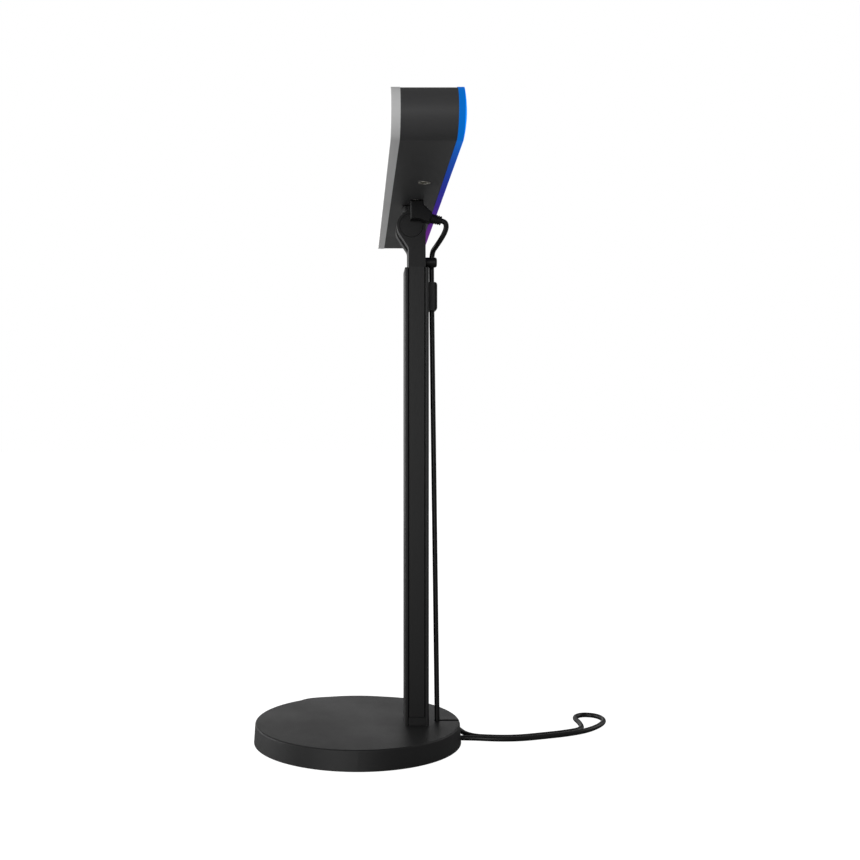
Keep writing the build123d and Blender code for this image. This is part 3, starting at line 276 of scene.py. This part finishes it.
def dress_mouldings():
    """The painted, anodised, moulded and cast pieces."""
    powder = fine_surface("base_powder_coat", grey(0.010), grey(0.014), 0.45, 2300, 0.00012, 0.6)
    anodised = fine_surface("mast_anodised", grey(0.007), grey(0.009), 0.4, 1800, 0.00003, 0.5,
                            stretch=(1, 1, 0.08))
    clevis = fine_surface("clevis_satin", grey(0.007), grey(0.010), 0.45, 1500, 0.00005, 0.4)
    housing = fine_surface("housing_charcoal", grey(0.075), grey(0.088), 0.5, 2000, 0.00006, 0.4)
    moulded = fine_surface("moulded_black", grey(0.007), grey(0.010), 0.42, 1700, 0.00005, 0.45)
    rubber = fine_surface("soft_rubber", grey(0.006), grey(0.009), 0.6, 1300, 0.00008, 0.35)
    keys = fine_surface("button_caps", grey(0.03), grey(0.036), 0.48, 2400, 0.00004, 0.5)
    acetal = fine_surface("acetal", (0.62, 0.61, 0.57), (0.7, 0.69, 0.65), 0.4, 900, 0.00003)
    white = fine_surface("reflector_white", (0.82, 0.82, 0.82), (0.88, 0.88, 0.88), 0.6, 900,
                         0.00003)
    board = fine_surface("solder_mask", (0.55, 0.57, 0.55), (0.62, 0.64, 0.62), 0.35, 500, 0.00003)
    chips = fine_surface("chip_epoxy", grey(0.012), grey(0.018), 0.5, 1500, 0.00004)
    cast = fine_surface("cast_weight", grey(0.10), grey(0.16), 0.6, 700, 0.0002, metallic=0.6)
    phosphor = fine_surface("led_phosphor", (0.75, 0.6, 0.12), (0.85, 0.7, 0.18), 0.3, 600, 0.00002)
    dress(powder, "base_cover")
    dress(cast, "base_weight")
    dress(rubber, "base_pad", "dc_plug", "strain_relief", "usb_body", "usb_relief", "hank_tie")
    dress(anodised, "outer_mast", "slider_right", "slider_left", "mast_foot")
    dress(clevis, "neck_clevis", "tilt_tongue", "pivot_caps", "mount_collar")
    dress(moulded, "mast_cable_clip", "neck_cable_clip")
    dress(housing, "bar_housing")
    dress(acetal, "slide_shoes", "friction_washers")
    dress(white, "front_reflector")
    dress(board, "front_led_board", "rear_led_board", "driver_board", "button_board")
    dress(chips, "driver_parts", "tact_switches", "dc_jack")
    dress(phosphor, "front_leds", "rear_leds")
    dress(keys, *(n for n in NODES if n.endswith("_button")))


def dress_metals():
    """The bare metal pieces, with their grain along X (0) or Z (2)."""
    zinc = brushed_metal("zinc_plate", (0.45, 0.45, 0.46), (0.58, 0.58, 0.6), 0.32, 2)
    blackened = brushed_metal("blackened_steel", (0.03, 0.03, 0.03), (0.05, 0.05, 0.05), 0.35, 0)
    nickel = brushed_metal("nickel_plate", (0.66, 0.64, 0.57), (0.8, 0.78, 0.7), 0.4, 2)
    sheet = brushed_metal("aluminium_sheet", (0.6, 0.6, 0.61), (0.7, 0.7, 0.72), 0.38, 0)
    dress(zinc, "base_screws", "mast_bolts", "mast_clip_screw", "chassis_screws", "travel_stops",
          "mount_stud")
    dress(blackened, "neck_screws", "pivot_bolt", "pivot_nut")
    dress(nickel, "threaded_inserts", "plug_barrel", "usb_shell")
    dress(sheet, "chassis_plate", "rear_board_posts")


def dress_diffusers():
    """The white key light in front and the coloured glow behind, purple at -X and azure at +X."""
    white_light = [(0.0, (1, 0.99, 0.97)), (1.0, (1, 1, 1))]
    dress(lit_diffuser("front_opal", (0.75, 0.75, 0.75), 0.3, white_light, *FRONT_Y, 0.62, 0.10),
          "front_diffuser")
    colours = [
        (0.0, (0.13, 0.010, 0.18)),
        (0.17, (0.118, 0.005, 0.185)),
        (0.37, (0.055, 0.003, 0.17)),
        (0.5, (0.026, 0.004, 0.19)),
        (0.63, (0.012, 0.015, 0.235)),
        (0.76, (0.003, 0.034, 0.28)),
        (0.91, (0.003, 0.075, 0.39)),
        (1.0, (0.0, 0.155, 0.6)),
    ]
    dress(lit_diffuser("rear_opal", (0.004, 0.004, 0.008), 0.03, colours, *REAR_Y, 2.4, 1.0),
          "rear_diffuser")


# ---- Cords ----
UPPER_ROUTE = [
    (JACK_X, 0.0610, 0.3838),
    (JACK_X, 0.06353, 0.38322),
    (0.0191, 0.0648, 0.3805),
    (0.0171, 0.0641, 0.3767),
    (0.0124, 0.0615, 0.3721),
    (0.0064, 0.0581, 0.3675),
    (0.0, CLIP_Y, 0.3639),
    (0.0, CLIP_Y, NECK_CLIP_BOTTOM),
]

# The lower lead's places on the floor, across and behind the foot of the base.
RUN_OUT = [
    (0.0004, 0.0085), (0.0038, 0.0265), (0.0029, 0.0450), (-0.0031, 0.0630),
    (-0.0094, 0.0810), (-0.0190, 0.0985), (-0.0340, 0.1120),
]
TURN_BACK = [
    (-0.0490, 0.1190), (-0.0625, 0.1155), (-0.0660, 0.1040), (-0.0570, 0.0955), (-0.0400, 0.0975),
]
RUN_IN = (-0.0046, 0.0056)


def floor_route():
    """Down the mast, out over the floor, then back beside the same run."""
    back = []
    for before, here, after in zip(RUN_OUT, RUN_OUT[1:], RUN_OUT[2:]):
        along = (Vector(after) - Vector(before)).normalized() * RETURN_OFFSET
        back.append((here[0] - along.y, here[1] + along.x))
    floor = RUN_OUT + TURN_BACK + back[::-1] + [RUN_IN]
    down = [(0.0, CLIP_Y, NECK_CLIP_BOTTOM), (0.0, CLIP_Y, MAST_CLIP_Z),
            (0.0, BASE_SLOT_Y - 0.0002, 0.024), (0.0, BASE_SLOT_Y, LAY_Z)]
    return down + [(x, BASE_R + y, LAY_Z) for x, y in floor]


def hank_point(offset, angle):
    """A place offset from the hank's middle line, at an angle from -X towards +Y."""
    reach = HANK_R + offset
    return (-reach * math.cos(angle), reach * math.sin(angle), LAY_Z)


def rim_route():
    """Corners of the run round the foot of the base, up to the hank's outermost turn."""
    lane = -HANK_FOLD_R - HANK_PITCH * (HANK_TURNS - 1)
    reach = (HANK_R + lane) / math.cos(RIM_STEP / 2) - HANK_R
    end = HANK_SPAN + HANK_LEAD
    return [hank_point(reach, end + RIM_STEP * share) for share in RIM_SHARES]


def hank_fold(side, radii):
    """Corners of half a turn round one end of the hank, at these distances from its middle."""
    middle = Vector(hank_point(0, side * HANK_SPAN))
    outward = (Vector(hank_point(1, side * HANK_SPAN)) - middle).normalized()
    along = Vector((-outward.y, outward.x, 0)) * -side
    steps = len(radii) + 1
    points = []
    for i, radius in enumerate(radii, start=1):
        turn = math.pi * i / steps
        swing = along * math.sin(turn) + outward * side * math.cos(turn)
        points.append(tuple(middle + swing * radius))
    return points


def hank_route():
    """Flat turns side by side, then into the plug that lies inside them."""
    share = [1, 0.5, 0, -0.5, -1]
    points = []
    for turn in range(HANK_TURNS):
        radius = HANK_FOLD_R + HANK_PITCH * (HANK_TURNS - 1 - turn)
        points += [hank_point(-radius, HANK_SPAN * s) for s in share]
        if turn < HANK_TURNS - 1:
            points += hank_fold(-1, [radius] * FOLD_POINTS)
            points += [hank_point(radius, -HANK_SPAN * s) for s in share]
            inward = HANK_PITCH / (FOLD_POINTS + 1)
            points += hank_fold(1, [radius - inward * i for i in range(1, FOLD_POINTS + 1)])
    points += hank_fold(-1, [HANK_FOLD_R * s for s in PLUG_FOLD])
    points += [(-HANK_R - 0.0026, -0.0315, LAY_Z), (-HANK_R - 0.0006, -0.0265, LAY_Z + 0.0006),
               (-HANK_R, USB_REAR_Y, USB_Z - 0.0004), (-HANK_R, USB_REAR_Y + 0.004, USB_Z)]
    return points


def smooth_line(name, points):
    """The points along a NURBS spline that the given points control."""
    curve = bpy.data.curves.new(name, "CURVE")
    curve.dimensions = "3D"
    curve.resolution_u = 8
    spline = curve.splines.new("NURBS")
    spline.points.add(len(points) - 1)
    for place, point in zip(spline.points, points):
        place.co = (*point, 1)
    spline.order_u = 3
    spline.use_endpoint_u = True
    holder = bpy.data.objects.new(name, curve)
    mesh = bpy.data.meshes.new_from_object(holder)
    line = [v.co.copy() for v in mesh.vertices]
    bpy.data.meshes.remove(mesh)
    bpy.data.objects.remove(holder)
    bpy.data.curves.remove(curve)
    return line


def even_line(line, step):
    """The same line with its points no further apart than step."""
    out = [line[0]]
    for a, b in zip(line, line[1:]):
        pieces = max(1, math.ceil((b - a).length / step))
        out += [a.lerp(b, i / pieces) for i in range(1, pieces + 1)]
    return out


def tube_mesh(name, line, radius, sides=16):
    """A closed round tube along a line, whose rings turn as little as they can."""
    tangents = []
    for i in range(len(line)):
        before, after = line[max(i - 1, 0)], line[min(i + 1, len(line) - 1)]
        tangents.append((after - before).normalized())
    across = tangents[0].orthogonal().normalized()
    points, faces = [], []
    for place, tangent in zip(line, tangents):
        across = (across - tangent * across.dot(tangent)).normalized()
        other = tangent.cross(across)
        for k in range(sides):
            turn = 2 * math.pi * k / sides
            points.append(place + (across * math.cos(turn) + other * math.sin(turn)) * radius)
    for i in range(len(line) - 1):
        for k in range(sides):
            a, b = i * sides + k, i * sides + (k + 1) % sides
            faces.append((a, b, b + sides, a + sides))
    faces.append(tuple(range(sides))[::-1])
    faces.append(tuple(range(len(points) - sides, len(points))))
    mesh = bpy.data.meshes.new(name)
    mesh.from_pydata([tuple(p) for p in points], [], faces)
    mesh.polygons.foreach_set("use_smooth", [len(f) == 4 for f in faces])
    mesh.update()
    return add_object(name, mesh)


def make_cords():
    jacket = fine_surface("cord_jacket", grey(0.006), grey(0.009), 0.38, 1500, 0.00003, 0.5)
    upper = even_line(smooth_line("upper_line", UPPER_ROUTE), UPPER_STEP)
    piece = tube_mesh("lead_upper", upper, CORD_R)
    piece.data.materials.append(jacket)
    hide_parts("cord_upper")
    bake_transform(piece)
    corners = floor_route() + rim_route() + hank_route()
    lower = even_line(smooth_line("lower_line", corners), LOWER_STEP)
    piece = tube_mesh("lead_lower", lower, CORD_R)
    piece.data.materials.append(jacket)
    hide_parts("cord_lower", "cord_hank")
    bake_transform(piece)


# ---- Studio ----
def camera_rays(nodes, links, others, camera):
    """One value for what the camera sees directly and another for all other light."""
    ray = nodes.new("ShaderNodeLightPath")
    return spread(nodes, links, ray.outputs["Is Camera Ray"], others, camera, 0, 1)


def make_floor():
    """A plain pale floor that burns out to white, as a studio sweep does."""
    mesh = bpy.data.meshes.new("floor")
    signs = [(-1, -1), (1, -1), (1, 1), (-1, 1)]
    mesh.from_pydata([(FLOOR_HALF * x, FLOOR_HALF * y, 0) for x, y in signs], [], [(0, 1, 2, 3)])
    floor = add_object("floor", mesh)
    floor.location.z = FLOOR_Z
    material, nodes, links = new_material("floor_paint")
    shader = shader_of(nodes)
    shader.inputs["Base Color"].default_value = (FLOOR_GREY, FLOOR_GREY, FLOOR_GREY, 1)
    shader.inputs["Roughness"].default_value = FLOOR_ROUGH
    shader.inputs["Specular IOR Level"].default_value = 0.0
    shader.inputs["Emission Color"].default_value = (1, 1, 1, 1)
    links.new(camera_rays(nodes, links, 0.0, 1.0), shader.inputs["Emission Strength"])
    mesh.materials.append(material)


def area_light(name, place, target, size, power):
    data = bpy.data.lights.new(name, "AREA")
    data.shape = "RECTANGLE"
    data.size, data.size_y = size
    data.energy = power
    light = add_object(name, data)
    light.location = place
    aim = Vector(target) - Vector(place)
    light.rotation_euler = aim.to_track_quat("-Z", "Y").to_euler()


def make_studio():
    scene = bpy.context.scene
    scene.view_settings.view_transform = "Standard"
    world = bpy.data.worlds.new("studio")
    scene.world = world
    world.use_nodes = True
    nodes, links = world.node_tree.nodes, world.node_tree.links
    background = next(n for n in nodes if n.type == "BACKGROUND")
    background.inputs["Color"].default_value = (1, 1, 1, 1)
    links.new(camera_rays(nodes, links, WORLD, 1.0), background.inputs["Strength"])
    for name, place, target, size, power in LIGHTS:
        area_light(name, place, target, size, power)


make_camera()
make_cords()
dress_mouldings()
dress_metals()
dress_diffusers()
make_floor()
make_studio()
